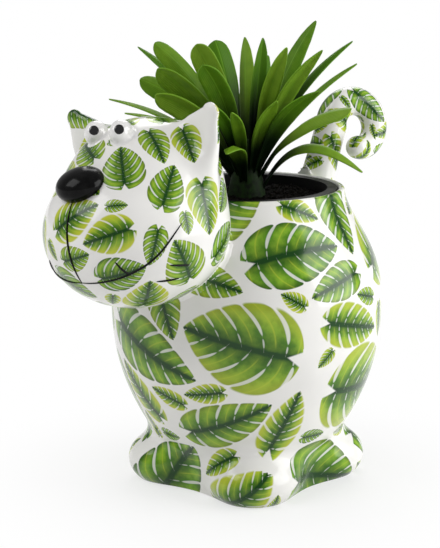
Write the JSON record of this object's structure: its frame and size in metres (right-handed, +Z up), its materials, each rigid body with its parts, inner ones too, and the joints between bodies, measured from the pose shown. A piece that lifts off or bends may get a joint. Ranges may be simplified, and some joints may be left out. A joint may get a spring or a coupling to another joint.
{
  "type": "animal shaped planter",
  "caption": "Glazed ceramic planter in the form of a standing cat, with a round mouth in its back that holds a lift-out nursery pot and a strap-leaved plant.",
  "frame": {"origin": "on the floor under the soles, on the axis of the round mouth", "axes": "+Z up along the mouth's axis, -Y the way the cat faces, +X the cat's left side"},
  "size_m": [0.1471, 0.2322, 0.2422],
  "materials": {
    "glaze": "glossy white glaze with a green leaf print",
    "nose_glaze": "glossy black glaze",
    "eye_glaze": "glossy white glaze with a painted pupil",
    "pot_plastic": "thin black moulded plastic",
    "soil": "loose dark potting soil",
    "stem": "pale green leaf bases",
    "leaf_green": "waxy green blade"
  },
  "bodies": {
    "planter": {"body_shell": "glaze", "head_shell": "glaze", "tail": "glaze", "nose": "nose_glaze", "eye_left": "eye_glaze", "eye_right": "eye_glaze"},
    "liner": {"nursery_pot": "pot_plastic"},
    "plant": {"root_ball": "soil", "crown": "stem", "leaf_01": "leaf_green", "leaf_02": "leaf_green", "leaf_03": "leaf_green", "leaf_04": "leaf_green", "leaf_05": "leaf_green", "leaf_06": "leaf_green", "leaf_07": "leaf_green", "leaf_08": "leaf_green", "leaf_09": "leaf_green", "leaf_10": "leaf_green", "leaf_11": "leaf_green", "leaf_12": "leaf_green", "leaf_13": "leaf_green", "leaf_14": "leaf_green", "leaf_15": "leaf_green", "leaf_16": "leaf_green", "leaf_17": "leaf_green", "leaf_18": "leaf_green", "leaf_19": "leaf_green", "leaf_20": "leaf_green", "leaf_21": "leaf_green", "leaf_22": "leaf_green", "leaf_23": "leaf_green", "leaf_24": "leaf_green", "leaf_25": "leaf_green", "leaf_26": "leaf_green", "leaf_27": "leaf_green", "leaf_28": "leaf_green", "leaf_29": "leaf_green", "leaf_30": "leaf_green"}
  },
  "joints": [
    {"name": "pot_lift", "type": "slide", "parent": "planter", "child": "liner", "axis": [0, 0, 1], "range_m": [0, 0.1]},
    {"name": "plant_lift", "type": "slide", "parent": "liner", "child": "plant", "axis": [0, 0, 1], "range_m": [0, 0.09]}
  ]
}
